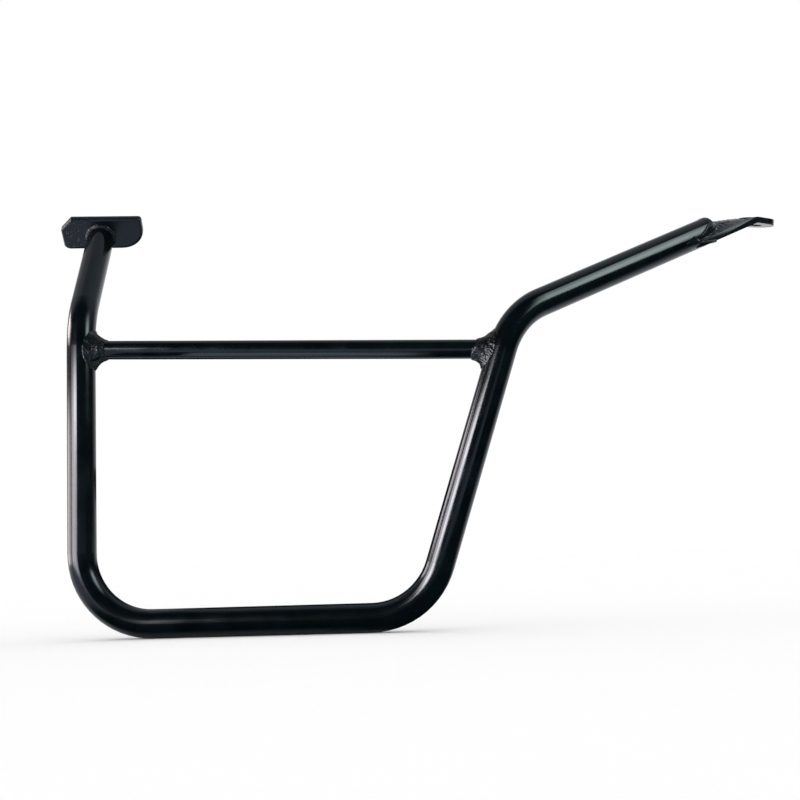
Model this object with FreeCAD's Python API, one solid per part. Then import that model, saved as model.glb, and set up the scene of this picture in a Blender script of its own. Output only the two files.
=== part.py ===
"""Pannier frame: one bent steel tube, a crossbar, a rear pad plate and a folded front tab, all welded.

Millimetres. X runs forward along the frame, Y inboard towards the motorbike, Z up.
The loop of the bent tube stands in the plane Y = constant nearest the rider's bag.
The origin is the centre of the bolt hole, on the underside of the front tab's flange.
"""
import FreeCAD, Part
import os
from math import cos, pi, radians, sin, sqrt, tan

Vector = FreeCAD.Vector

# Main tube
tube_od = 19.05
tube_wall = 1.8
bend_radius = 47.5
rear_leg = 203.5
bottom_run = 228.0
front_leg = 203.5
front_leg_lean_deg = 18.3
rear_arm = 95.2
rear_arm_inboard_deg = 39.0
rear_arm_lean_deg = -5.0
front_arm = 175.5
front_arm_inboard_deg = 28.8
front_arm_rise_deg = 26.25

# Crossbar, placed by its distance below the top bends, measured along each leg
crossbar_od = 12.7
crossbar_wall = 1.6
crossbar_below_rear_bend = 19.2
crossbar_below_front_bend = 23.7

# Rear pad plate, square to the rear arm
plate_length = 57.0
plate_height = 28.2
plate_thickness = 4.5
plate_turn_deg = -1.7
plate_forward_offset = 1.3
plate_upward_offset = 0.6
plate_upper_rear_clip = 7.0
plate_lower_rear_radius = 5.5
plate_lower_front_radius = 18.0
plate_upper_front_radius = 2.5
plate_edge_bevel = 1.2

# Front tab, a flat bar held in a slot sawn in the tube's end and folded to a flange
tab_width = 25.4
tab_thickness = 4.2
tab_roll_deg = 10.0
tab_below_axis = 4.55
tab_in_slot = 20.5
tab_to_fold = 36.3
tab_fold_deg = 24.5
tab_fold_inner_radius = 2.5
tab_fold_to_hole = 10.5
tab_hole_diameter = 8.5
tab_root_corner = 3.2
slot_clearance = 0.05

# Weld beads
joint_bead_reach = 7.2
joint_bead_length = 9.3
joint_bead_toe = 0.5
joint_bead_foot_spread = 2.0
joint_bead_foot_share = 0.25
joint_bead_width_share = 0.92
joint_bead_waist_share = 0.45
joint_bead_feather = 0.03
joint_bead_sides = 20
rear_joint_bead_drop = 0.6
front_joint_bead_drop = 2.2
plate_bead_leg = 2.2
tab_bead_length = 9.5
tab_bead_rise = 6.0
tab_side_bead = 1.6

tube_radius = tube_od / 2
crossbar_radius = crossbar_od / 2


def unit(vector):
    return vector / vector.Length


def frame_placement(origin, along_x, along_y):
    """Placement whose local X and Y lie on the two given square directions."""
    x = unit(along_x)
    z = unit(along_x.cross(along_y))
    y = z.cross(x)
    matrix = FreeCAD.Matrix(
        x.x, y.x, z.x, origin.x,
        x.y, y.y, z.y, origin.y,
        x.z, y.z, z.z, origin.z,
        0, 0, 0, 1)
    return FreeCAD.Placement(matrix)


# Directions of the runs and the corner points of the tube's centre line
rear_arm_direction = Vector(
    cos(radians(rear_arm_inboard_deg)) * sin(radians(rear_arm_lean_deg)),
    sin(radians(rear_arm_inboard_deg)),
    cos(radians(rear_arm_inboard_deg)) * cos(radians(rear_arm_lean_deg)))
front_leg_direction = Vector(sin(radians(front_leg_lean_deg)), 0, cos(radians(front_leg_lean_deg)))
front_arm_direction = Vector(
    cos(radians(front_arm_inboard_deg)) * cos(radians(front_arm_rise_deg)),
    sin(radians(front_arm_inboard_deg)),
    cos(radians(front_arm_inboard_deg)) * sin(radians(front_arm_rise_deg)))

inboard = Vector(0, 1, 0)
rear_bottom = Vector(0, 0, 0)
rear_top = rear_bottom + Vector(0, 0, rear_leg)
front_bottom = rear_bottom + Vector(bottom_run, 0, 0)
front_top = front_bottom + front_leg_direction * front_leg
rear_end = rear_top + rear_arm_direction * rear_arm
front_end = front_top + front_arm_direction * front_arm

# Tab directions: along the bar, across it away from the rider, and up out of its face
tab_along = front_arm_direction
tab_level = unit(Vector(-tab_along.y, tab_along.x, 0))
tab_roll = radians(tab_roll_deg)
tab_across = tab_level * cos(tab_roll) + tab_along.cross(tab_level) * sin(tab_roll)
tab_up = tab_along.cross(tab_across)

# Levels of the bar's two faces, from the axis of the front arm
bar_top = tab_thickness / 2 - tab_below_axis
bar_bottom = -tab_thickness / 2 - tab_below_axis


def bent_path(points, radius):
    """Straight runs through the points, joined by tangent arcs of one radius."""
    edges = []
    start = points[0]
    for before, corner, after in zip(points, points[1:], points[2:]):
        to_before = unit(before - corner)
        to_after = unit(after - corner)
        half_angle = to_before.getAngle(to_after) / 2
        setback = radius / tan(half_angle)
        arc_start = corner + to_before * setback
        arc_end = corner + to_after * setback
        arc_middle = corner + unit(to_before + to_after) * (radius / sin(half_angle) - radius)
        edges.append(Part.LineSegment(start, arc_start).toShape())
        edges.append(Part.Arc(arc_start, arc_middle, arc_end).toShape())
        start = arc_end
    edges.append(Part.LineSegment(start, points[-1]).toShape())
    return Part.Wire(edges)


def swept_round(path, start, direction, radius):
    """Solid rod of one radius along a path."""
    disc = Part.Face(Part.Wire(Part.Circle(start, direction, radius).toShape()))
    return path.makePipe(disc)


def rod(start, end, radius):
    return Part.makeCylinder(radius, (end - start).Length, start, end - start)


def bar_slab(start, end, low, high):
    """Slab parallel to the tab's bar, between two distances along the arm and two levels from its axis."""
    width = tab_width + tube_od
    slab = Part.makeBox(end - start, width, high - low)
    corner = front_end + tab_along * start - tab_across * width / 2 + tab_up * low
    slab.Placement = frame_placement(corner, tab_along, tab_across)
    return slab


# Main tube
def make_main_tube():
    path = bent_path([rear_end, rear_top, rear_bottom, front_bottom, front_top, front_end], bend_radius)
    outer = swept_round(path, rear_end, -rear_arm_direction, tube_radius)
    bore = swept_round(path, rear_end, -rear_arm_direction, tube_radius - tube_wall)
    slot = bar_slab(-tab_in_slot, tube_od, bar_bottom - slot_clearance, bar_top + slot_clearance)
    return outer, outer.cut(bore).cut(slot)


# Crossbar
def crossbar_ends():
    rear = rear_top - Vector(0, 0, crossbar_below_rear_bend)
    front = front_top - front_leg_direction * crossbar_below_front_bend
    return rear, front


def make_crossbar(tube_outer):
    """Round tube with both ends coped to the main tube."""
    rear, front = crossbar_ends()
    solid_bar = rod(rear, front, crossbar_radius)
    bore = rod(rear, front, crossbar_radius - crossbar_wall)
    return solid_bar, solid_bar.cut(bore).cut(tube_outer)


# Weld round a crossbar end: a flare from the bar's surface out onto the main tube
def bead_section(centre, along_leg, reach_along, reach_across):
    """Faceted oval across the crossbar, its first reach along the leg and its second square to the loop."""
    corners = []
    for index in range(joint_bead_sides):
        angle = 2 * pi * (index + 0.5) / joint_bead_sides
        corners.append(centre + along_leg * reach_along * cos(angle) + inboard * reach_across * sin(angle))
    return Part.makePolygon(corners + corners[:1])


def make_joint_bead(joint, along_bar, leg_direction, drop, tube_outer, bar_outer):
    """Saddle bead, tall along the leg, lofted from the tube's flank to the bar in slices along the leg."""
    slant = leg_direction.cross(along_bar).Length
    flank = tube_radius / slant
    tall = crossbar_radius / slant + joint_bead_reach
    wide = tube_radius * joint_bead_width_share
    foot_wide = tube_radius * (sqrt(1 - joint_bead_foot_share ** 2) - joint_bead_feather)
    toe_wide = crossbar_radius + joint_bead_toe
    toe_tall = toe_wide / slant
    waist = joint_bead_waist_share
    lowered = joint - leg_direction * drop
    sections = [
        bead_section(lowered + along_bar * flank * joint_bead_foot_share, leg_direction,
                     tall + joint_bead_foot_spread, foot_wide),
        bead_section(lowered + along_bar * flank, leg_direction, tall, wide),
        bead_section((joint + lowered) / 2 + along_bar * (flank + joint_bead_length * waist), leg_direction,
                     toe_tall + (tall - toe_tall) * waist, toe_wide + (wide - toe_wide) * waist),
        bead_section(joint + along_bar * (flank + joint_bead_length), leg_direction, toe_tall, toe_wide),
    ]
    flare = Part.makeLoft(sections, True, True)
    return flare.cut(tube_outer).cut(bar_outer)


# Rear pad plate
def plate_axes():
    """Directions along the plate's length and height, square to the rear arm."""
    level = unit(Vector(rear_arm_direction.y, -rear_arm_direction.x, 0))
    height = rear_arm_direction.cross(level)
    turn = radians(plate_turn_deg)
    along = level * cos(turn) - height * sin(turn)
    return along, along.cross(rear_arm_direction)


def corner_arc(corner, toward_start, toward_end, radius):
    """Quarter arc that rounds a square corner of an outline."""
    centre = corner + (toward_start + toward_end) * radius
    middle = centre - unit(toward_start + toward_end) * radius
    return Part.Arc(corner + toward_start * radius, middle, corner + toward_end * radius).toShape()


def make_plate():
    """Flat bar with one clipped and three rounded corners and bevelled edges."""
    right = Vector(1, 0, 0)
    up = Vector(0, 1, 0)
    x = plate_length / 2
    y = plate_height / 2
    corners = [
        (Vector(x, -y, 0), -right, up, plate_lower_front_radius),
        (Vector(x, y, 0), -up, -right, plate_upper_front_radius),
        (Vector(-x, -y, 0), up, right, plate_lower_rear_radius),
    ]
    arcs = [corner_arc(*corner) for corner in corners]
    clip_top = Vector(plate_upper_rear_clip - x, y, 0)
    clip_side = Vector(-x, y - plate_upper_rear_clip, 0)
    pieces = [arcs[0]]
    pieces.append(Part.LineSegment(Vector(x, plate_lower_front_radius - y, 0),
                                   Vector(x, y - plate_upper_front_radius, 0)).toShape())
    pieces.append(arcs[1])
    pieces.append(Part.LineSegment(Vector(x - plate_upper_front_radius, y, 0), clip_top).toShape())
    pieces.append(Part.LineSegment(clip_top, clip_side).toShape())
    pieces.append(Part.LineSegment(clip_side, Vector(-x, plate_lower_rear_radius - y, 0)).toShape())
    pieces.append(arcs[2])
    pieces.append(Part.LineSegment(Vector(plate_lower_rear_radius - x, -y, 0),
                                   Vector(x - plate_lower_front_radius, -y, 0)).toShape())
    outline = Part.Wire(Part.__sortEdges__(pieces))
    plate = Part.Face(outline).extrude(Vector(0, 0, plate_thickness))
    rims = [edge for edge in plate.Edges if abs(edge.BoundBox.ZLength) < plate_thickness / 2]
    plate = plate.makeChamfer(plate_edge_bevel, rims)
    along, height = plate_axes()
    back = rear_end + rear_arm_direction * plate_thickness
    centre = back + along * plate_forward_offset + height * plate_upward_offset
    plate.Placement = frame_placement(centre, along, height)
    return plate


def make_plate_bead():
    """Ring bead between the end of the rear arm and the plate's face."""
    corners = [Vector(tube_radius, 0, 0), Vector(tube_radius + plate_bead_leg, 0, 0),
               Vector(tube_radius, 0, plate_bead_leg)]
    profile = Part.makePolygon(corners + corners[:1])
    ring = Part.Face(profile).revolve(Vector(0, 0, 0), Vector(0, 0, 1), 360)
    along, height = plate_axes()
    ring.Placement = frame_placement(rear_end, along, height)
    return ring


# Front tab
def prism(points, direction, thickness):
    """Flat piece of the given corner points, centred on their plane."""
    half = direction * thickness / 2
    wire = Part.makePolygon([point - half for point in points + points[:1]])
    return Part.Face(wire).extrude(direction * thickness)


def make_tab():
    """Flat bar from the slot to a square fold, and a round-ended flange with a bolt hole."""
    half_width = tab_width / 2
    across = tab_across * half_width
    middle_radius = tab_fold_inner_radius + tab_thickness / 2
    setback = middle_radius * tan(radians(tab_fold_deg) / 2)
    turn = FreeCAD.Rotation(tab_across, tab_fold_deg)
    flange_along = turn.multVec(tab_along)
    flange_up = turn.multVec(tab_up)

    bar_middle = front_end - tab_up * tab_below_axis
    root = bar_middle - tab_along * tab_in_slot
    fold = bar_middle + tab_along * tab_to_fold
    fold_start = fold - tab_along * setback
    fold_end = fold + flange_along * setback
    hole = fold + flange_along * tab_fold_to_hole
    clip_along = tab_along * tab_root_corner
    clip_across = tab_across * tab_root_corner
    blade = prism([root - across + clip_across, root - across + clip_along, fold_start - across,
                   fold_start + across, root + across + clip_along, root + across - clip_across],
                  tab_up, tab_thickness)
    flange = prism([fold_end - across, hole - across, hole + across, fold_end + across],
                   flange_up, tab_thickness)
    half = tab_up * tab_thickness / 2
    corners = [fold_start - across - half, fold_start + across - half,
               fold_start + across + half, fold_start - across + half]
    section = Part.Face(Part.makePolygon(corners + corners[:1]))
    knuckle = section.revolve(fold_start - tab_up * middle_radius, tab_across, tab_fold_deg)
    underside = hole - flange_up * tab_thickness / 2
    round_end = Part.makeCylinder(half_width, tab_thickness, underside, flange_up)
    drill = Part.makeCylinder(tab_hole_diameter / 2, tab_thickness, underside, flange_up)
    tab = blade.fuse([knuckle, flange, round_end]).removeSplitter().cut(drill)
    return tab, underside


def tube_half_width(level):
    """Half width of the tube's round section at a level from its axis."""
    return sqrt(max(tube_radius ** 2 - level ** 2, 0))


def make_tab_bead(tube_outer, side):
    """Sloped bead that closes the tube's end on one face of the bar, with fillets along the slot."""
    level = bar_top if side > 0 else bar_bottom
    length = tab_in_slot - tab_root_corner
    start = front_end - tab_along * length
    bead = Part.makeCone(tube_radius, tube_radius - tab_bead_rise, tab_bead_length, front_end, tab_along)
    high = level + side * tab_side_bead
    flank = tube_half_width(level)
    corners = [(flank - tab_side_bead, level), (flank + tab_side_bead, level), (tube_half_width(high), high)]
    for hand in (-1, 1):
        points = [start + tab_across * hand * across + tab_up * up for across, up in corners]
        fillet = Part.Face(Part.makePolygon(points + points[:1]))
        bead = bead.fuse(fillet.extrude(tab_along * (length + tab_side_bead)))
    low, high = sorted((level, side * tube_od))
    keep = bar_slab(-tab_in_slot, tab_bead_length + tab_side_bead, low, high)
    return bead.common(keep).cut(tube_outer).removeSplitter()


def build():
    """All pieces by name, moved so that the bolt hole is the origin."""
    tube_outer, main_tube = make_main_tube()
    bar_outer, crossbar = make_crossbar(tube_outer)
    rear_joint, front_joint = crossbar_ends()
    along_bar = unit(front_joint - rear_joint)
    tab, origin = make_tab()
    pieces = {
        "main_tube": main_tube,
        "crossbar": crossbar,
        "rear_pad_plate": make_plate(),
        "front_tab": tab,
        "rear_joint_weld": make_joint_bead(rear_joint, along_bar, Vector(0, 0, 1), rear_joint_bead_drop,
                                           tube_outer, bar_outer),
        "front_joint_weld": make_joint_bead(front_joint, -along_bar, front_leg_direction,
                                            front_joint_bead_drop, tube_outer, bar_outer),
        "rear_plate_weld": make_plate_bead(),
        "front_tab_upper_weld": make_tab_bead(tube_outer, 1),
        "front_tab_lower_weld": make_tab_bead(tube_outer, -1),
    }
    for shape in pieces.values():
        shape.translate(-origin)
    return pieces


os.makedirs("parts", exist_ok=True)
for name, shape in build().items():
    shape.exportStep("parts/" + name + ".step")
    print(name, len(shape.Solids), shape.isValid(), round(shape.Volume), shape.BoundBox)
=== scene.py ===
"""Pannier frame: black powder-coated steel tube, flat bar and weld beads, on a plain pale floor."""

import math

import bmesh
import bpy
import numpy as np
from mathutils import Matrix, Vector, noise


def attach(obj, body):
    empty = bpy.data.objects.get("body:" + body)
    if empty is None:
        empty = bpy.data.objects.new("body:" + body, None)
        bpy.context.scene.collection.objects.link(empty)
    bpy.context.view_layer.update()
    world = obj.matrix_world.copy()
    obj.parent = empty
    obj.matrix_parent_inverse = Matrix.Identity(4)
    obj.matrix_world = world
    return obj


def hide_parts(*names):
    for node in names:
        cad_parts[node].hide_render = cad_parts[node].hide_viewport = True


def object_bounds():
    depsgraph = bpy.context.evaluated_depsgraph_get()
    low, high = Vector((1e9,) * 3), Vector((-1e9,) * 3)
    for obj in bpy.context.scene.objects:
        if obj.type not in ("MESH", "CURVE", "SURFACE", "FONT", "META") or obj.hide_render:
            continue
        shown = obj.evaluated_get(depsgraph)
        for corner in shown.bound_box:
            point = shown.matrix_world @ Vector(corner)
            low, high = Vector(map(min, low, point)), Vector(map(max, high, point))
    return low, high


bl_info = {
    "name": "Pannier Frame",
    "version": (1, 0, 0),
    "blender": (4, 5, 0),
    "location": "View3D > Sidebar > Pannier Frame",
    "description": "Dresses the welded pannier frame with its coat, welds and studio",
    "category": "Object",
}

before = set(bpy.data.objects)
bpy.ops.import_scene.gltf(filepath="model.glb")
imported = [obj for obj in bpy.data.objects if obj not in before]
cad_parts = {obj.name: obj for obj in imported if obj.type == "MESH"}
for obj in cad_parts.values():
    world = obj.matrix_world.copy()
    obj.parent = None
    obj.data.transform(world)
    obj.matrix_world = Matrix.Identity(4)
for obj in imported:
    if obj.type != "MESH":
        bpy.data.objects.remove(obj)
cad_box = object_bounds()

MM = 0.001
TUBE_NODES = ("main_tube", "crossbar")
FLOOR_LEVEL = cad_box[0][2]

# Joints of the frame, in metres: a point on each and the directions that its weld follows
INBOARD = Vector((0.0, 1.0, 0.0))
REAR_JOINT = Vector((-0.467722, -0.109977, -0.084545))
FRONT_JOINT = Vector((-0.183266, -0.109977, -0.098138))
REAR_LEG = Vector((0.0, 0.0, 1.0))
FRONT_LEG = Vector((0.313992, 0.0, 0.949425))
REAR_ARM_END = Vector((-0.474170, -0.050066, 0.008358))
REAR_ARM = Vector((-0.067733, 0.629320, 0.774189))
FRONT_ARM_END = Vector((-0.037892, -0.025430, -0.007616))
FRONT_ARM = Vector((0.785936, 0.481754, 0.387581))
TAB_ACROSS = Vector((-0.572044, 0.804451, 0.160075))
TAB_UP = FRONT_ARM.cross(TAB_ACROSS)

# How far below the crossbar's line the foot of each saddle weld is centred on its leg
REAR_DROP = 0.6 * MM
FRONT_DROP = 2.2 * MM

# Texture of the coat: soft clouds in its tone, dimples of orange peel, and pits in the plate
CLOUD_SIZE = 18 * MM
PEEL_DEPTH = 0.05 * MM
PIT_SIZE = 2.2 * MM
PIT_DEPTH = 0.3 * MM
# Gloss of the coat: index of its resin, strength of its mirror, a little under the resin's,
# what the clouds take from and add to its roughness, and what the tab's smoother sides lack of it
COAT_INDEX = 1.5
COAT_MIRROR = 0.36
CLOUD_DULLING = (-0.03, 0.05)
SIDE_POLISH = 0.3

# Rear plate's corners, in millimetres and anticlockwise: along, up and radius
PLATE_CORNERS = ((30.8, 15.6, 2.5), (-19.8, 15.6, 1.5), (-28.4, 6.4, 3.0),
                 (-28.2, -12.0, 4.5), (30.9, -11.7, 17.0))
PLATE_CORNER_STEPS = 10
# Rear plate's pits: where along the frame they are deepest and where they have faded, in metres
PITTED_END = (-0.484, -0.470)

# Mesh of each weld bead: points that follow the bead, and points across it
JOINT_GRID = (288, 45)
RING_GRID = (240, 13)
TAB_GRID = (150, 84)
LIP_GRID = (120, 40)
NEAR_GRID = (100, 30)

# Lumps on each weld bead, in millimetres: height and size of the coarse ones, then of the fine ones
JOINT_LUMPS = (0.4, 4.0, 0.22, 1.3)
RING_LUMPS = (0.45, 3.0, 0.2, 1.2)
TAB_LUMPS = (0.45, 3.2, 0.22, 1.4)
LIP_LUMPS = (0.17, 3.2, 0.08, 1.2)
NEAR_LUMPS = (0.07, 4.0, 0.03, 1.3)

# Lit panels: name, place, point faced, width, height, feather across and along, strength, colour
PANELS = (
    ("Key softbox", (-0.914, -0.558, -0.06), (-0.30, -0.11, -0.15), 0.52, 0.70, (0.45, 0.5), 20.0, "ffe4d3"),
    ("Far key", (-1.162, -1.259, 0.17), (-0.20, -0.11, -0.15), 0.74, 0.46, (0.6, 0.5), 44.0, "ffe5d4"),
    ("Side panel", (-1.07, -0.06, -0.248), (-0.40, -0.06, -0.22), 0.66, 0.466, (0.4, 0.3), 7.0, "ffe9e0"),
    ("High side panel", (-1.502, 0.035, 0.292), (-0.20, -0.11, -0.15), 0.8, 0.36, (0.4, 0.5), 14.0, "ffe9e0"),
    ("Arm panel", (0.602, -0.445, 0.36), (-0.10, -0.06, -0.03), 0.80, 1.25, (1.0, 1.0), 12.5, "ffffe5"),
    ("Crossbar card", (-0.34, -0.15, -0.17), (-0.34, -0.15, 0.0), 0.21, 0.08, (0.3, 0.5), 2.2, "fff2dc"),
)

# Dark cards, seen only in reflections, that paint shade into what the coat mirrors: name, place, direction faced,
# width, height, feather across and along
# Colour of the painted shade that these cards put into reflections
PAINTED_SHADE_COLOUR = "141414"
FLAG_HEIGHT = -1.1 * FLOOR_LEVEL
PAINTED_SHADE_CARDS = (
    ("Right flag", (0.10, -0.30, FLOOR_LEVEL / 2), (-1, 0, 0), 0.74, FLAG_HEIGHT, (0.35, 0.1)),
    ("Rear flag", (-0.53, 0.31, FLOOR_LEVEL + MM), (0, 0, 1), 0.38, 0.62, (0.2, 0.1)),
    ("Front flag", (-0.285, -0.17, FLOOR_LEVEL + MM), (0, 0, 1), 0.47, 0.11, (0.2, 0.1)),
    ("Joint flag", (-0.436, -0.147, -0.13), (0, 0, 1), 0.064, 0.052, (0.3, 0.1)),
    ("Leg flag", (-0.546, -0.195, -0.017), (0.643, 0.766, 0), 0.12, 0.21, (0.3, 0.667)),
    ("Front leg flag", (-0.43, -0.311, 0.049), (0.766, 0.643, 0), 0.30, 0.202, (0.3, 0.57)),
    ("Loop flag", (-0.34, 0.25, -0.16), (0, 0, 1), 0.24, 0.64, (0.3, 0.2)),
    ("Corner flag", (-0.09, -0.33, FLOOR_LEVEL + 2 * MM), (0, 0, 1), 0.46, 0.72, (0.3, 0.3)),
    ("Plate flag", (-0.61, 0.30, FLOOR_LEVEL / 2), (0, -1, 0), 0.40, FLAG_HEIGHT, (0.2, 0.1)),
)


def linear(hex_colour):
    """Linear RGBA of an sRGB hex colour."""
    channels = []
    for start in (0, 2, 4):
        value = int(hex_colour[start:start + 2], 16) / 255
        channels.append(value / 12.92 if value <= 0.04045 else ((value + 0.055) / 1.055) ** 2.4)
    return (*channels, 1.0)


class PannierFinish(bpy.types.PropertyGroup):
    """Colours and gloss of the coat."""
    coat_shade: bpy.props.FloatVectorProperty(
        name="Coat shade", description="Darker tone of the powder coat", size=4,
        default=linear("03090c"), min=0.0, max=1.0, subtype="COLOR")
    coat_tint: bpy.props.FloatVectorProperty(
        name="Coat tint", description="Lighter tone of the powder coat", size=4,
        default=linear("061014"), min=0.0, max=1.0, subtype="COLOR")
    mirror_tint: bpy.props.FloatVectorProperty(
        name="Mirror tint", description="Tint that the coat gives to what it mirrors", size=4,
        default=linear("cbe2ff"), min=0.0, max=1.0, subtype="COLOR")
    coat_roughness: bpy.props.FloatProperty(
        name="Coat roughness", description="Gloss of the powder coat on the tubes",
        default=0.16, min=0.0, max=1.0, subtype="FACTOR")
    peel_size: bpy.props.FloatProperty(
        name="Orange peel", description="Width of the dimples in the powder coat",
        default=1.3 * MM, unit="LENGTH")
    eased_edge: bpy.props.FloatProperty(
        name="Eased edge", description="Rounding on the edges of the flat bar",
        default=0.5 * MM, unit="LENGTH")


class PannierWelds(bpy.types.PropertyGroup):
    """Sizes of the weld beads and of the rear plate."""
    tube_radius: bpy.props.FloatProperty(
        name="Tube radius", description="Outer radius of the main tube", default=9.525 * MM, unit="LENGTH")
    bar_radius: bpy.props.FloatProperty(
        name="Crossbar radius", description="Outer radius of the crossbar", default=6.35 * MM, unit="LENGTH")
    bead_length: bpy.props.FloatProperty(
        name="Bead length", description="How far a joint bead runs out along the crossbar",
        default=9.3 * MM, unit="LENGTH")
    bead_reach: bpy.props.FloatProperty(
        name="Bead reach", description="How far a joint bead runs along the leg past the crossbar",
        default=8.0 * MM, unit="LENGTH")
    wrap_angle: bpy.props.FloatProperty(
        name="Wrap angle", description="How far a joint bead wraps round the leg, each way",
        default=math.radians(70), subtype="ANGLE", unit="ROTATION")
    ripple_pitch: bpy.props.FloatProperty(
        name="Ripple pitch", description="Distance between the crescents of a bead",
        default=1.5 * MM, unit="LENGTH")
    ripple_height: bpy.props.FloatProperty(
        name="Ripple height", description="Height of the crescents", default=0.22 * MM, unit="LENGTH")
    plate_thickness: bpy.props.FloatProperty(
        name="Plate thickness", description="Thickness of the rear pad plate", default=4.5 * MM, unit="LENGTH")
    plate_roll: bpy.props.FloatProperty(
        name="Plate edge roll", description="Rounding of the plate's front edges", default=1.7 * MM, unit="LENGTH")
    plate_turn: bpy.props.FloatProperty(
        name="Plate turn", description="Turn of the plate about the rear arm",
        default=math.radians(-1.7), subtype="ANGLE", unit="ROTATION")
    ring_leg: bpy.props.FloatProperty(
        name="Ring bead leg", description="Width of the bead round the plate's joint",
        default=2.0 * MM, unit="LENGTH")


class PannierStage(bpy.types.PropertyGroup):
    """Lens, place and angles of the camera."""
    focal_length: bpy.props.FloatProperty(
        name="Focal length", description="Lens that gives the photograph's perspective",
        default=59.674, subtype="DISTANCE_CAMERA", unit="CAMERA")
    camera_place: bpy.props.FloatVectorProperty(
        name="Camera place", description="Where the camera stands", size=3,
        default=(-0.15289, -0.96745, -0.22804), subtype="TRANSLATION", unit="LENGTH")
    camera_pitch: bpy.props.FloatProperty(
        name="Camera pitch", description="How far the camera looks up",
        default=math.radians(6.583), subtype="ANGLE", unit="ROTATION")
    camera_yaw: bpy.props.FloatProperty(
        name="Camera yaw", description="How far the camera looks forward of square",
        default=math.radians(-6.557), subtype="ANGLE", unit="ROTATION")
    camera_roll: bpy.props.FloatProperty(
        name="Camera roll", description="How far the camera tips sideways",
        default=math.radians(-1.882), subtype="ANGLE", unit="ROTATION")


# Materials
def add_node(tree, kind, settings=None, inputs=None):
    """A node with its settings; an input takes a value or another node's output."""
    node = tree.nodes.new(kind)
    for name, value in (settings or {}).items():
        setattr(node, name, value)
    for key, value in (inputs or {}).items():
        if isinstance(value, bpy.types.NodeSocket):
            tree.links.new(value, node.inputs[key])
        else:
            node.inputs[key].default_value = value
    return node


def new_material(name):
    """Empty node material with an output."""
    material = bpy.data.materials.new(name)
    material.use_nodes = True
    tree = material.node_tree
    tree.nodes.clear()
    output = add_node(tree, "ShaderNodeOutputMaterial")
    return material, tree, output


def powder_coat(name, finish, duller, grit_share, rough_side=None, pitted_end=None):
    """Satin black polyester powder coat baked on mild steel: near-black, with a fine dimpled gloss.

    It can be dull on one side only, and pitted at one end along the frame.
    """
    material, tree, output = new_material(name)
    roughness = finish.coat_roughness + duller
    place = add_node(tree, "ShaderNodeTexCoord").outputs["Object"]
    peel = add_node(tree, "ShaderNodeTexNoise", {"noise_dimensions": "3D"},
                    {"Vector": place, "Scale": 1 / finish.peel_size, "Detail": 3.0, "Roughness": 0.6})
    cloud = add_node(tree, "ShaderNodeTexNoise", {"noise_dimensions": "3D"},
                     {"Vector": place, "Scale": 1 / CLOUD_SIZE, "Detail": 4.0, "Roughness": 0.55})
    tint = add_node(tree, "ShaderNodeValToRGB", None, {"Fac": cloud.outputs["Fac"]})
    tint.color_ramp.elements[0].position = 0.35
    tint.color_ramp.elements[0].color = finish.coat_shade
    tint.color_ramp.elements[1].position = 0.7
    tint.color_ramp.elements[1].color = finish.coat_tint
    gloss = add_node(tree, "ShaderNodeMapRange", None,
                     {"Value": cloud.outputs["Fac"], "From Min": 0.3, "From Max": 0.7,
                      "To Min": roughness + CLOUD_DULLING[0], "To Max": roughness + CLOUD_DULLING[1]})
    bump = add_node(tree, "ShaderNodeBump", None,
                    {"Height": peel.outputs["Fac"], "Strength": grit_share, "Distance": PEEL_DEPTH})
    sheen = gloss.outputs["Result"]
    relief = bump.outputs["Normal"]
    if rough_side:
        normal = add_node(tree, "ShaderNodeNewGeometry").outputs["True Normal"]
        facing = add_node(tree, "ShaderNodeVectorMath", {"operation": "DOT_PRODUCT"}, {0: normal, 1: rough_side})
        sheen = add_node(tree, "ShaderNodeMapRange", None,
                         {"Value": facing.outputs["Value"], "From Min": 0.5, "From Max": 0.9,
                          "To Min": roughness - SIDE_POLISH, "To Max": roughness}).outputs["Result"]
    if pitted_end:
        apart = add_node(tree, "ShaderNodeSeparateXYZ", None, {"Vector": place})
        share = add_node(tree, "ShaderNodeMapRange", {"interpolation_type": "SMOOTHSTEP"},
                         {"Value": apart.outputs["X"], "From Min": pitted_end[0], "From Max": pitted_end[1],
                          "To Min": 1.0, "To Max": 0.12})
        pits = add_node(tree, "ShaderNodeTexNoise", {"noise_dimensions": "3D"},
                        {"Vector": place, "Scale": 1 / PIT_SIZE, "Detail": 2.0, "Roughness": 0.7})
        hollows = add_node(tree, "ShaderNodeMapRange", {"interpolation_type": "SMOOTHSTEP"},
                           {"Value": pits.outputs["Fac"], "From Min": 0.30, "From Max": 0.42,
                            "To Min": 0.0, "To Max": 1.0})
        relief = add_node(tree, "ShaderNodeBump", None,
                          {"Height": hollows.outputs["Result"], "Strength": share.outputs["Result"],
                           "Distance": PIT_DEPTH, "Normal": relief}).outputs["Normal"]
    shader = add_node(tree, "ShaderNodeBsdfPrincipled", None,
                      {"Base Color": tint.outputs["Color"], "Roughness": sheen, "IOR": COAT_INDEX,
                       "Specular IOR Level": COAT_MIRROR, "Specular Tint": finish.mirror_tint,
                       "Normal": relief})
    tree.links.new(shader.outputs["BSDF"], output.inputs["Surface"])
    return material


def dress(node, material):
    """Gives a CAD node its finish."""
    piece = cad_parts[node]
    piece.data.materials.clear()
    piece.data.materials.append(material)


def ease_edges(node, width):
    """Takes the sharpness off the edges of a flat bar, as blasting and coating do."""
    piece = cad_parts[node]
    seam = piece.modifiers.new("Join seams", "WELD")
    seam.merge_threshold = 0.001 * MM
    bevel = piece.modifiers.new("Eased edges", "BEVEL")
    bevel.width = width
    bevel.segments = 3
    bevel.limit_method = "ANGLE"
    bevel.angle_limit = math.radians(40)


def weld_coat(finish):
    """The coat that all the weld beads share: duller than on the tubes, so that the ripples only glint."""
    name = "Powder-coated weld"
    return bpy.data.materials.get(name) or powder_coat(name, finish, duller=0.12, grit_share=0.3)


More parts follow.
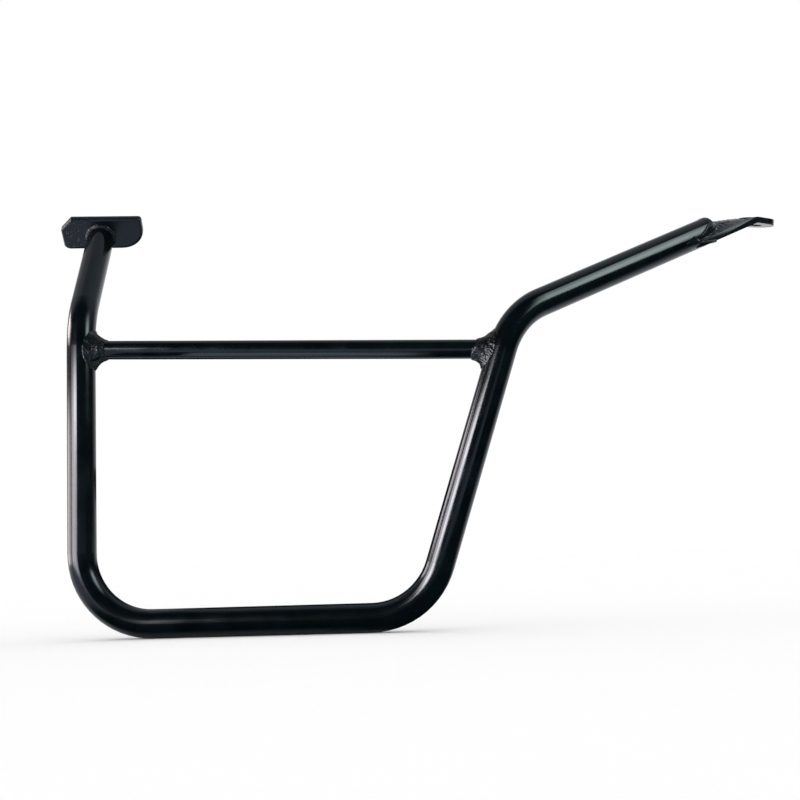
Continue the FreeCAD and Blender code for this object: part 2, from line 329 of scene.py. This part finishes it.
class PANNIER_OT_tubes(bpy.types.Operator):
    """Coats the main tube and the crossbar"""
    bl_idname = "pannier.tubes"
    bl_label = "Coat the Tubes"

    def execute(self, context):
        finish = context.scene.pannier_finish
        # Deep black with long, smooth highlights that only just waver
        coat = powder_coat("Satin black powder coat", finish, duller=0.0, grit_share=0.15)
        for node in TUBE_NODES:
            dress(node, coat)
        return {"FINISHED"}


class PANNIER_OT_tab(bpy.types.Operator):
    """Coats the front tab and eases its edges"""
    bl_idname = "pannier.tab"
    bl_label = "Coat the Front Tab"

    def execute(self, context):
        finish = context.scene.pannier_finish
        # A dull, grainy top where spatter lies under the coat, and smoother edges
        coat = powder_coat("Powder coat over spatter", finish, duller=0.34, grit_share=0.9, rough_side=TAB_UP)
        dress("front_tab", coat)
        ease_edges("front_tab", finish.eased_edge)
        return {"FINISHED"}


# Welds
def smooth_step(low, high, value):
    """Eased climb from 0 to 1 between two values."""
    share = np.clip((value - low) / (high - low), 0.0, 1.0)
    return share * share * (3 - 2 * share)


def lumps(points, size):
    """Smooth random heights of about -1 to 1 at the points, with features of one size."""
    flat = points.reshape(-1, 3) / size
    return np.array([noise.noise(Vector(point)) for point in flat]).reshape(points.shape[:-1])


def lumpy(points, recipe):
    """Height of a bead's coarse and fine lumps at the points."""
    coarse_height, coarse_size, fine_height, fine_size = (value * MM for value in recipe)
    return coarse_height * lumps(points, coarse_size) + fine_height * lumps(points, fine_size)


def hand_waver(turns, *waves):
    """Uneven edge of a bead laid by hand: waves with a height in millimetres, a count and a phase."""
    return sum(height * MM * np.sin(count * turns + phase) for height, count, phase in waves)


def pool_travel(points, turns, radius, drift, drift_size):
    """How far the weld pool has run round a joint, drifting a little, with lengths in millimetres."""
    return (turns * radius * MM)[None, :] + drift * MM * lumps(points, drift_size * MM)


def outward(points):
    """Unit normals of a grid that closes on itself along its second axis."""
    down = np.gradient(points, axis=0)
    round_about = np.roll(points, -1, axis=1) - np.roll(points, 1, axis=1)
    normals = np.cross(round_about, down)
    return normals / np.linalg.norm(normals, axis=2, keepdims=True)


def crescents(travel, across, pitch):
    """Height from 0 to 1 of the overlapping crescents that a weld pool leaves as it travels."""
    share = (travel / pitch + 0.9 * (2 * across - 1) ** 2) % 1.0
    return np.sin(np.pi * share ** 0.7) ** 0.8


def grid_piece(name, points, closed, material, node):
    """Smooth mesh over a grid of points, riding on the frame, in place of a CAD node where one is named."""
    rows, columns = points.shape[:2]
    faces = []
    for row in range(rows - 1):
        for column in range(columns if closed else columns - 1):
            after = (column + 1) % columns
            faces.append((row * columns + column, row * columns + after,
                          (row + 1) * columns + after, (row + 1) * columns + column))
    mesh = bpy.data.meshes.new(name)
    mesh.from_pydata(points.reshape(-1, 3).tolist(), [], faces)
    mesh.shade_smooth()
    mesh.materials.append(material)
    piece = bpy.data.objects.new(name, mesh)
    bpy.context.scene.collection.objects.link(piece)
    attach(piece, "root")
    if node:
        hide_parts(node)
    return piece


def onto_tube(points, sink):
    """The points moved to the nearest places on the main tube, sunk a little under its skin."""
    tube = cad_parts["main_tube"]
    moved = []
    for point in points:
        found, place, normal = tube.closest_point_on_mesh(Vector(point))[:3]
        if not found:
            raise RuntimeError("no place on the main tube for a weld's foot")
        moved.append(place - normal * sink)
    return np.array(moved)


def joint_bead(name, joint, along_bar, leg, drop, sizes, material, node):
    """Rippled saddle weld between a crossbar end and a leg, its foot set a drop below the crossbar."""
    turns = np.linspace(0, 2 * np.pi, JOINT_GRID[0], endpoint=False)
    slices = np.linspace(0, 1, JOINT_GRID[1])
    slant = leg.cross(along_bar).length
    toward_bar = (along_bar - leg * along_bar.dot(leg)).normalized()
    rise = np.cos(turns)[:, None] * np.array(leg)
    side = np.sin(turns)[:, None] * np.array(INBOARD)
    sink = 0.25 * MM
    waver = hand_waver(turns, (0.5, 3, 1.0), (0.35, 7, 0.0))
    # Toe on the crossbar, and the hidden corner where the crossbar meets the leg
    run = sizes.tube_radius / slant + sizes.bead_length + waver
    bar_ring = (rise / slant + side) * (sizes.bar_radius - sink)
    toe = np.array(joint) + run[:, None] * np.array(along_bar) + bar_ring
    corner = np.array(joint) + np.array(along_bar) * sizes.tube_radius * 0.92 + bar_ring
    # Foot on the leg
    wrap = sizes.wrap_angle * np.sin(turns)
    reach = sizes.bar_radius / slant + sizes.bead_reach + 0.6 * waver
    around = np.cos(wrap)[:, None] * np.array(toward_bar) + np.sin(wrap)[:, None] * np.array(INBOARD)
    foot = np.array(joint - leg * drop) + rise * reach[:, None] + around * sizes.tube_radius
    foot = onto_tube(foot, sink)
    # Curve from toe to foot that sags towards the corner
    middle = 0.55 * corner + 0.45 * (toe + foot) / 2
    share = slices[:, None, None]
    points = (1 - share) ** 2 * toe + 2 * share * (1 - share) * middle + share ** 2 * foot
    normals = outward(points)
    away = points - np.array(joint + along_bar * sizes.tube_radius)
    if (normals * away).sum() < 0:
        normals = -normals
    # Ripples, fainter in patches, and lumps; both die out at the toe and the foot
    across = slices[:, None]
    swell = smooth_step(0.0, 0.07, across) * smooth_step(1.0, 0.9, across)
    travel = pool_travel(points, turns, radius=9.0, drift=1.6, drift_size=7.0)
    patches = lumps(points, 9 * MM)
    worn = 0.35 + 0.65 * smooth_step(-0.3, 0.35, patches)
    ripples = worn * sizes.ripple_height * crescents(travel, across, sizes.ripple_pitch)
    crown = 0.4 * MM
    height = swell * (crown + ripples + lumpy(points, JOINT_LUMPS))
    return grid_piece(name, points + normals * height[..., None], True, material, node)


def ring_bead(name, sizes, material, node):
    """Rippled fillet weld round the end of the rear arm, on the plate's face."""
    turns = np.linspace(0, 2 * np.pi, RING_GRID[0], endpoint=False)
    slices = np.linspace(0, 1, RING_GRID[1])[:, None]
    level = REAR_ARM.cross(INBOARD).normalized()
    square = REAR_ARM.cross(level)
    around = np.cos(turns)[:, None] * np.array(level) + np.sin(turns)[:, None] * np.array(square)
    sink = 0.2 * MM
    leg = sizes.ring_leg + hand_waver(turns, (0.25, 4, 0.7), (0.2, 9, 0.0))[None, :]
    out = sizes.tube_radius - sink + leg * slices
    back = -sink + leg * (1 - slices)
    points = np.array(REAR_ARM_END) + around[None] * out[..., None] - np.array(REAR_ARM) * back[..., None]
    tilt = (around[None] - np.array(REAR_ARM)) / math.sqrt(2)
    swell = smooth_step(0.0, 0.3, slices) * smooth_step(1.0, 0.7, slices)
    travel = pool_travel(points, turns, radius=11.0, drift=1.2, drift_size=5.0)
    ripples = sizes.ripple_height * crescents(travel, slices, sizes.ripple_pitch)
    crown = 0.1 * MM
    height = swell * (crown + ripples + lumpy(points, RING_LUMPS))
    return grid_piece(name, points + tilt * height[..., None], True, material, node)


def tab_bead(name, sizes, material, node):
    """Lumpy weld that closes the front arm's end and runs back along the slot, as heights over the tab."""
    along = np.linspace(-19.5, 36.0, TAB_GRID[0])[:, None] * MM
    across = np.linspace(-12.2, 12.5, TAB_GRID[1])[None, :] * MM
    # Top face of the bar, how far the plug laps back over the tube's end, and the play under the tube
    face = -2.45 * MM
    overlap = -1.2 * MM
    clearance = 0.3 * MM
    radius = sizes.tube_radius
    # Plug in the tube's end, which runs out further on the far side
    tube_top = np.sqrt(np.maximum(radius ** 2 - across ** 2, 0.0))
    far_share = smooth_step(-radius, radius, across)
    fall = np.clip(along / ((7.0 + 6.0 * far_share) * MM), 0.0, 1.0)
    rim = np.where(np.abs(across) < radius, tube_top - face - clearance, 0.0)
    dip = 0.7 * MM * smooth_step(clearance, overlap, along)
    plug = np.where(along > overlap, rim * (1 - fall ** 1.2) - dip, 0.0)
    # Ramp that falls along the far side of the bar
    ramp = ((8.0 * MM - 0.215 * along) * smooth_step(-8.5 * MM, 7.0 * MM, across)
            * smooth_step(-1.0 * MM, 9.0 * MM, along) * smooth_step(12.5 * MM, 11.6 * MM, across))
    # Fillets on both sides of the slot, which grow towards the tube's end
    grown = smooth_step(-19.0 * MM, 1.0 * MM, along)
    foot = radius + (0.8 + 1.6 * grown) * MM
    inset = (0.4 + 2.4 * grown) * MM
    slope = np.clip((foot - np.abs(across)) / (foot - radius + inset), 0.0, 1.0)
    ends = smooth_step(-19.3 * MM, -17.0 * MM, along) * smooth_step(6.0 * MM, 0.5 * MM, along)
    fillet = (0.8 + 4.6 * grown) * MM * slope * ends
    height = np.maximum(np.maximum(plug, fillet), ramp)
    hidden = (along < overlap) & (np.abs(across) < radius - inset - clearance)
    height = np.where(hidden, 0.0, height)
    # Lumps, and thin edges that sink under the bar's face
    places = np.stack(np.broadcast_arrays(along, across, 0.0 * along * across), axis=-1)
    rough = lumpy(places, TAB_LUMPS) * smooth_step(0.0, 1.0 * MM, height)
    height = height + rough - 0.35 * MM * smooth_step(0.6 * MM, 0.0, height)
    points = (np.array(FRONT_ARM_END) + along[..., None] * np.array(FRONT_ARM)
              + across[..., None] * np.array(TAB_ACROSS) + (face + height)[..., None] * np.array(TAB_UP))
    return grid_piece(name, points, False, material, node)


def around_arm(along, turns, radius):
    """Points round the front arm: distance past its end, turn from its near side over the top, and radius."""
    return (np.array(FRONT_ARM_END) + along[..., None] * np.array(FRONT_ARM)
            - (radius * np.cos(turns))[..., None] * np.array(TAB_ACROSS)
            + (radius * np.sin(turns))[..., None] * np.array(TAB_UP))


def lip_bead(name, sizes, material):
    """Weld drawn over the front arm's end, slanting back along its near side to the slot's root."""
    turns = np.radians(np.linspace(-16.0, 198.0, LIP_GRID[0]))[None, :]
    # Where the weld starts before the tube's end and how high it stands, by the turn in degrees
    start = np.interp(np.degrees(turns), (-16, 0, 20, 40, 90), (-20.5, -17.0, -9.5, -3.6, -4.0)) * MM
    crest = np.interp(np.degrees(turns), (-16, 0, 20, 45, 90), (0.7, 1.5, 1.7, 0.4, 0.1)) * MM
    # Skin of weld on the tube, from its start to the tube's end
    run = np.linspace(0, 1, LIP_GRID[1])[:, None]
    tube_end = 0.2 * MM
    hump = smooth_step(0.0, 0.1, run) * (1 - smooth_step(0.06, 1.0, run)) * crest
    rise = hump + 0.2 * MM + 0.15 * MM * smooth_step(0.0, 0.4, run)
    along = start + (tube_end - start) * run
    radius = sizes.tube_radius - 0.3 * MM + rise
    # Lip that rolls over the tube's end
    bend = np.linspace(0, np.pi / 2, 12)[1:, None]
    lip_along = tube_end + 1.6 * MM * np.sin(bend)
    lip_radius = radius[-1:] - 4.0 * MM * (1 - np.cos(bend))
    along = np.concatenate((along, np.broadcast_to(lip_along, lip_radius.shape)))
    radius = np.concatenate((radius, lip_radius))
    turns = np.broadcast_to(turns, along.shape)
    points = around_arm(along, turns, radius)
    rough = lumpy(points, LIP_LUMPS)
    inside = np.concatenate((smooth_step(0.0, 0.15, run), np.ones_like(bend)))
    return grid_piece(name, around_arm(along, turns, radius + rough * inside), False, material, None)


def near_bead(name, sizes, material):
    """Weld at the bar's near edge: it swells out of the arm over the bar's root and runs on under the bar."""
    along = np.linspace(-30.0, -5.0, NEAR_GRID[0])[:, None] * MM
    skin = sizes.tube_radius - 0.15 * MM
    # Crest of the bead, which leaves the arm's skin and reaches past the bar's near edge
    edge_up = np.interp(along / MM, (-30.0, -20.0, -7.0, -5.0), (-2.2, -3.2, -6.7, -7.2)) * MM
    swell = smooth_step(-30.0 * MM, -19.0 * MM, along)
    edge_across = -skin * np.cos(np.arcsin(edge_up / skin)) * (1 - swell) - 12.9 * MM * swell
    # Its top edge, which dives into the bar, and its foot below on the arm
    foot_turn = np.radians(np.interp(along / MM, (-30.0, -20.0), (-22.0, -62.0)))
    top_turn = np.radians(np.interp(along / MM, (-30.0, -21.0), (-8.0, 12.0)))
    inside_bar = smooth_step(-20.0 * MM, -18.5 * MM, along)
    top_across = -skin * np.cos(top_turn)
    top_up = skin * np.sin(top_turn) * (1 - inside_bar) - 2.9 * MM * inside_bar
    foot_across = -skin * np.cos(foot_turn)
    foot_up = skin * np.sin(foot_turn)
    # Curve from top to foot over the crest
    share = np.linspace(0, 1, NEAR_GRID[1])[None, :]
    across = ((1 - share) ** 2 * top_across + share ** 2 * foot_across
              + share * (1 - share) * (4 * edge_across - top_across - foot_across))
    up = ((1 - share) ** 2 * top_up + share ** 2 * foot_up
          + share * (1 - share) * (4 * edge_up - top_up - foot_up))
    turns = np.arctan2(up, -across)
    radius = np.maximum(np.hypot(across, up), np.where(inside_bar > 0.5, 0.0, skin))
    along = np.broadcast_to(along, across.shape)
    rough = lumpy(around_arm(along, turns, radius), NEAR_LUMPS) * swell
    return grid_piece(name, around_arm(along, turns, radius + rough), False, material, None)


# Rear pad plate
def rounded_outline(corners, steps):
    """Points round a convex outline whose corners are (x, y, radius), anticlockwise."""
    points = []
    count = len(corners)
    for index, (x, y, radius) in enumerate(corners):
        here = Vector((x, y))
        to_before = (Vector(corners[index - 1][:2]) - here).normalized()
        to_after = (Vector(corners[(index + 1) % count][:2]) - here).normalized()
        half = to_before.angle(to_after) / 2
        centre = here + (to_before + to_after).normalized() * radius / math.sin(half)
        start = here + to_before * radius / math.tan(half) - centre
        sweep = math.pi - 2 * half
        for step in range(steps + 1):
            turn = Matrix.Rotation(sweep * step / steps, 2)
            points.append(centre + turn @ start)
    return np.array(points)


def plate_piece(name, sizes, material, node):
    """Flat bar plate, rolled over at its front edges, with one clipped and one well-rounded corner."""
    level = Vector((REAR_ARM.y, -REAR_ARM.x, 0.0)).normalized()
    turn = sizes.plate_turn
    along = level * math.cos(turn) - REAR_ARM.cross(level) * math.sin(turn)
    height = along.cross(REAR_ARM)
    corners = [(x * MM, y * MM, radius * MM) for x, y, radius in PLATE_CORNERS]
    outline = rounded_outline(corners, PLATE_CORNER_STEPS)
    tangent = np.roll(outline, -1, axis=0) - np.roll(outline, 1, axis=0)
    inward = np.stack((-tangent[:, 1], tangent[:, 0]), axis=1)
    inward /= np.linalg.norm(inward, axis=1, keepdims=True)
    # Rings of points, each with its inset and depth: over the front edge's roll, then to the back's small bevel
    roll = sizes.plate_roll
    thick = sizes.plate_thickness
    back_bevel = 0.4 * MM
    bends = np.linspace(0, np.pi / 2, 6)
    rings = [(roll * (1 - math.sin(bend)), roll * (1 - math.cos(bend))) for bend in bends]
    rings += [(0.0, thick - back_bevel), (back_bevel, thick)]
    # The roll is up to twice as wide on the lower edges
    wider = 1 + np.clip(inward[:, 1:], 0.0, 1.0)
    points = []
    for inset, depth in rings:
        flat = outline + inward * inset * wider
        back = depth * (wider if depth < roll else 1.0)
        points.append(np.array(REAR_ARM_END) + np.array(REAR_ARM) * back
                      + flat[:, :1] * np.array(along) + flat[:, 1:] * np.array(height))
    piece = grid_piece(name, np.array(points), True, material, node)
    # Front and back faces, inside the first and the last ring
    count = len(outline)
    mesh = bmesh.new()
    mesh.from_mesh(piece.data)
    mesh.verts.ensure_lookup_table()
    mesh.faces.new(mesh.verts[:count])
    mesh.faces.new(mesh.verts[-count:])
    bmesh.ops.recalc_face_normals(mesh, faces=mesh.faces)
    for face in mesh.faces:
        face.smooth = True
    mesh.to_mesh(piece.data)
    mesh.free()
    piece.modifiers.new("Flat faces", "WEIGHTED_NORMAL")
    return piece


class PANNIER_OT_plate(bpy.types.Operator):
    """Shapes and coats the rear pad plate"""
    bl_idname = "pannier.plate"
    bl_label = "Shape the Rear Plate"

    def execute(self, context):
        finish = context.scene.pannier_finish
        # Softer gloss than the tubes, broken by pits at the clipped end
        coat = powder_coat("Powder coat over pitted bar", finish, duller=0.14, grit_share=0.4,
                           pitted_end=PITTED_END)
        plate_piece("rear_plate", context.scene.pannier_welds, coat, "rear_pad_plate")
        return {"FINISHED"}


class PANNIER_OT_joint_welds(bpy.types.Operator):
    """Lays the welds round both ends of the crossbar"""
    bl_idname = "pannier.joint_welds"
    bl_label = "Weld the Crossbar"

    def execute(self, context):
        sizes = context.scene.pannier_welds
        coat = weld_coat(context.scene.pannier_finish)
        along_bar = (FRONT_JOINT - REAR_JOINT).normalized()
        joint_bead("rear_joint_bead", REAR_JOINT, along_bar, REAR_LEG, REAR_DROP,
                   sizes, coat, "rear_joint_weld")
        joint_bead("front_joint_bead", FRONT_JOINT, -along_bar, FRONT_LEG, FRONT_DROP,
                   sizes, coat, "front_joint_weld")
        return {"FINISHED"}


class PANNIER_OT_plate_weld(bpy.types.Operator):
    """Lays the weld between the rear arm and its plate"""
    bl_idname = "pannier.plate_weld"
    bl_label = "Weld the Rear Plate"

    def execute(self, context):
        coat = weld_coat(context.scene.pannier_finish)
        ring_bead("rear_plate_bead", context.scene.pannier_welds, coat, "rear_plate_weld")
        return {"FINISHED"}


class PANNIER_OT_tab_welds(bpy.types.Operator):
    """Lays the welds that hold the tab in the front arm"""
    bl_idname = "pannier.tab_welds"
    bl_label = "Weld the Front Tab"

    def execute(self, context):
        sizes = context.scene.pannier_welds
        coat = weld_coat(context.scene.pannier_finish)
        tab_bead("front_tab_bead", sizes, coat, "front_tab_upper_weld")
        lip_bead("front_tab_lip_bead", sizes, coat)
        near_bead("front_tab_near_bead", sizes, coat)
        dress("front_tab_lower_weld", coat)
        return {"FINISHED"}


# Stage
def flat_sheet(name, material, half_width, half_height, level):
    """Level rectangle about the origin, with one material."""
    corners = [(-half_width, -half_height, level), (half_width, -half_height, level),
               (half_width, half_height, level), (-half_width, half_height, level)]
    mesh = bpy.data.meshes.new(name)
    mesh.from_pydata(corners, [], [(0, 1, 2, 3)])
    mesh.materials.append(material)
    sheet = bpy.data.objects.new(name, mesh)
    bpy.context.scene.collection.objects.link(sheet)
    return sheet


def stage_sheet(name, material, place, target, width, height):
    """Flat stage sheet turned towards a point, that shows only in reflections."""
    sheet = flat_sheet(name, material, width / 2, height / 2, 0.0)
    sheet.location = place
    sheet.rotation_euler = (Vector(target) - Vector(place)).to_track_quat("-Z", "Y").to_euler()
    sheet.visible_camera = False
    sheet.visible_diffuse = False
    sheet.visible_shadow = False


def edge_fade(tree, width, height, feather, peak):
    """Strength over a sheet that holds its peak in the middle and fades out to the edges."""
    spot = add_node(tree, "ShaderNodeTexCoord").outputs["Object"]
    sides = add_node(tree, "ShaderNodeSeparateXYZ", None, {"Vector": spot})
    fades = []
    for axis, half, soft, top in (("X", width / 2, feather[0], peak), ("Y", height / 2, feather[1], 1.0)):
        off = add_node(tree, "ShaderNodeMath", {"operation": "ABSOLUTE"}, {0: sides.outputs[axis]})
        fade = add_node(tree, "ShaderNodeMapRange", {"interpolation_type": "SMOOTHSTEP"},
                        {"Value": off.outputs["Value"], "From Min": half * (1 - soft), "From Max": half,
                         "To Min": top, "To Max": 0.0})
        fades.append(fade.outputs["Result"])
    both = add_node(tree, "ShaderNodeMath", {"operation": "MULTIPLY"}, {0: fades[0], 1: fades[1]})
    return both.outputs["Value"]


def soft_panel(name, place, target, width, height, feather, radiance, colour):
    """Lit panel, clear from behind, that the coat mirrors as a soft highlight."""
    material, tree, output = new_material(name)
    fade = edge_fade(tree, width, height, feather, radiance)
    facing = add_node(tree, "ShaderNodeNewGeometry").outputs["Backfacing"]
    glow = add_node(tree, "ShaderNodeMath", {"operation": "MULTIPLY"}, {0: fade, 1: facing})
    shader = add_node(tree, "ShaderNodeEmission", None,
                      {"Color": linear(colour), "Strength": glow.outputs["Value"]})
    clear = add_node(tree, "ShaderNodeBsdfTransparent")
    both = add_node(tree, "ShaderNodeAddShader", None,
                    {0: shader.outputs["Emission"], 1: clear.outputs["BSDF"]})
    tree.links.new(both.outputs["Shader"], output.inputs["Surface"])
    stage_sheet(name, material, place, target, width, height)


def painted_shade_card(name, place, facing, width, height, feather):
    """Soft-edged dark card, seen only in reflections, that the coat mirrors in place of the white floor or a part
    of a panel: painted shade in the coat's reflections.
    """
    material, tree, output = new_material(name)
    fade = edge_fade(tree, width, height, feather, 1.0)
    card = add_node(tree, "ShaderNodeBsdfDiffuse", None, {"Color": linear(PAINTED_SHADE_COLOUR)})
    clear = add_node(tree, "ShaderNodeBsdfTransparent")
    both = add_node(tree, "ShaderNodeMixShader", None,
                    {0: fade, 1: clear.outputs["BSDF"], 2: card.outputs["BSDF"]})
    tree.links.new(both.outputs["Shader"], output.inputs["Surface"])
    stage_sheet(name, material, place, Vector(place) + Vector(facing), width, height)


def studio_world():
    """White to the eye; in reflections white behind the frame, grey overhead and dark in front."""
    world = bpy.data.worlds.new("Studio")
    world.use_nodes = True
    tree = world.node_tree
    tree.nodes.clear()
    output = add_node(tree, "ShaderNodeOutputWorld")
    place = add_node(tree, "ShaderNodeTexCoord").outputs["Generated"]
    direction = add_node(tree, "ShaderNodeSeparateXYZ", None, {"Vector": place})
    behind = add_node(tree, "ShaderNodeMapRange", {"interpolation_type": "SMOOTHSTEP"},
                      {"Value": direction.outputs["Y"], "From Min": 0.35, "From Max": 0.95,
                       "To Min": 0.015, "To Max": 1.0})
    high = add_node(tree, "ShaderNodeMapRange", {"interpolation_type": "SMOOTHSTEP"},
                    {"Value": direction.outputs["Z"], "From Min": 0.25, "From Max": 0.6,
                     "To Min": 0.0, "To Max": 0.5})
    past = add_node(tree, "ShaderNodeMapRange", {"interpolation_type": "SMOOTHSTEP"},
                    {"Value": direction.outputs["Y"], "From Min": -0.28, "From Max": 0.08,
                     "To Min": 0.0, "To Max": 1.0})
    overhead = add_node(tree, "ShaderNodeMath", {"operation": "MULTIPLY"},
                        {0: high.outputs["Result"], 1: past.outputs["Result"]})
    mirrored = add_node(tree, "ShaderNodeMath", {"operation": "MAXIMUM"},
                        {0: behind.outputs["Result"], 1: overhead.outputs["Value"]})
    path = add_node(tree, "ShaderNodeLightPath")
    strength = add_node(tree, "ShaderNodeMix", {"data_type": "FLOAT"},
                        {"Factor": path.outputs["Is Glossy Ray"], "A": 1.0, "B": mirrored.outputs["Value"]})
    background = add_node(tree, "ShaderNodeBackground", None,
                          {"Color": (1.0, 1.0, 1.0, 1.0), "Strength": strength.outputs["Result"]})
    tree.links.new(background.outputs["Background"], output.inputs["Surface"])
    bpy.context.scene.world = world


def pale_floor():
    """Matt white paper floor under the frame: plain white to the eye, with a soft contact shadow."""
    material, tree, output = new_material("Matt white paper")
    place = add_node(tree, "ShaderNodeTexCoord").outputs["Object"]
    fibre = add_node(tree, "ShaderNodeTexNoise", None,
                     {"Vector": place, "Scale": 1 / (40 * MM), "Detail": 3.0})
    tint = add_node(tree, "ShaderNodeValToRGB", None, {"Fac": fibre.outputs["Fac"]})
    tint.color_ramp.elements[0].color = linear("fefefe")
    tint.color_ramp.elements[1].color = linear("ffffff")
    shader = add_node(tree, "ShaderNodeBsdfDiffuse", None, {"Color": tint.outputs["Color"]})
    tree.links.new(shader.outputs["BSDF"], output.inputs["Surface"])
    half_side = 8.0
    floor = flat_sheet("Floor", material, half_side, half_side, FLOOR_LEVEL)


def photo_camera(stage):
    """Camera at the photograph's viewing angle."""
    pitch, yaw, roll = stage.camera_pitch, stage.camera_yaw, stage.camera_roll
    ahead = Vector((math.sin(yaw) * math.cos(pitch), math.cos(yaw) * math.cos(pitch), math.sin(pitch)))
    level = Vector((math.cos(yaw), -math.sin(yaw), 0.0))
    upright = level.cross(ahead)
    right = level * math.cos(roll) + upright * math.sin(roll)
    up = upright * math.cos(roll) - level * math.sin(roll)
    data = bpy.data.cameras.new("Camera")
    data.lens = stage.focal_length
    data.sensor_width = 36.0
    camera = bpy.data.objects.new("Camera", data)
    bpy.context.scene.collection.objects.link(camera)
    turn = Matrix((right, up, -ahead)).transposed()
    camera.matrix_world = Matrix.Translation(Vector(stage.camera_place)) @ turn.to_4x4()
    bpy.context.scene.camera = camera


class PANNIER_OT_stage(bpy.types.Operator):
    """Sets the floor, the light panels, the dark cards that paint shade into reflections, and the camera"""
    bl_idname = "pannier.stage"
    bl_label = "Set the Stage"

    def execute(self, context):
        pale_floor()
        studio_world()
        for panel in PANELS:
            soft_panel(*panel)
        # Dark cards of painted shade, seen only in reflections
        for flag in PAINTED_SHADE_CARDS:
            painted_shade_card(*flag)
        photo_camera(context.scene.pannier_stage)
        context.scene.view_settings.view_transform = "Standard"
        return {"FINISHED"}


class PANNIER_PT_panel(bpy.types.Panel):
    """The frame's steps, in order"""
    bl_idname = "PANNIER_PT_panel"
    bl_label = "Pannier Frame"
    bl_space_type = "VIEW_3D"
    bl_region_type = "UI"
    bl_category = "Pannier Frame"

    def draw(self, context):
        for step in STEPS:
            self.layout.operator(step.bl_idname)


STEPS = (PANNIER_OT_tubes, PANNIER_OT_plate, PANNIER_OT_tab, PANNIER_OT_joint_welds,
         PANNIER_OT_plate_weld, PANNIER_OT_tab_welds, PANNIER_OT_stage)
CLASSES = (PannierFinish, PannierWelds, PannierStage, *STEPS, PANNIER_PT_panel)


def register():
    """Adds the add-on's classes and gives each scene its settings."""
    for cls in CLASSES:
        bpy.utils.register_class(cls)
    bpy.types.Scene.pannier_finish = bpy.props.PointerProperty(type=PannierFinish)
    bpy.types.Scene.pannier_welds = bpy.props.PointerProperty(type=PannierWelds)
    bpy.types.Scene.pannier_stage = bpy.props.PointerProperty(type=PannierStage)


def unregister():
    """Takes the settings and the classes away again."""
    del bpy.types.Scene.pannier_stage
    del bpy.types.Scene.pannier_welds
    del bpy.types.Scene.pannier_finish
    for cls in reversed(CLASSES):
        bpy.utils.unregister_class(cls)


def main():
    """Builds the whole scene."""
    register()
    bpy.ops.pannier.tubes()
    bpy.ops.pannier.plate()
    bpy.ops.pannier.tab()
    bpy.ops.pannier.joint_welds()
    bpy.ops.pannier.plate_weld()
    bpy.ops.pannier.tab_welds()
    bpy.ops.pannier.stage()


if __name__ == "__main__":
    main()
